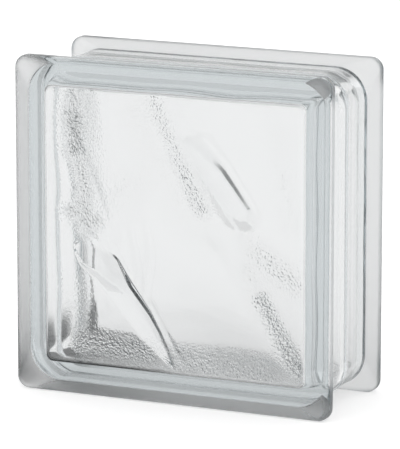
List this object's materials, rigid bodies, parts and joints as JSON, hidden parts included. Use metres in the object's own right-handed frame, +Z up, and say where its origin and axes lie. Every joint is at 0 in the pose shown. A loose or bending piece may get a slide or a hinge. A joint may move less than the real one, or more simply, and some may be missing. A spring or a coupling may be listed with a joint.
{
  "type": "glass block",
  "caption": "Hollow square wall block of clear pressed glass with raised rims, a fused mid seam and wavy inner faces.",
  "frame": {"origin": "under the middle of the block, on the plane of the bottom rims", "axes": "+Z up, -Y towards the front pane, X along the width"},
  "size_m": [0.19, 0.08, 0.19],
  "materials": {
    "clear_glass": "clear pressed glass, faintly green, glossy outside, wavy and finely dimpled inside"
  },
  "bodies": {
    "root": {"front_half": "clear_glass", "rear_half": "clear_glass"}
  },
  "joints": []
}
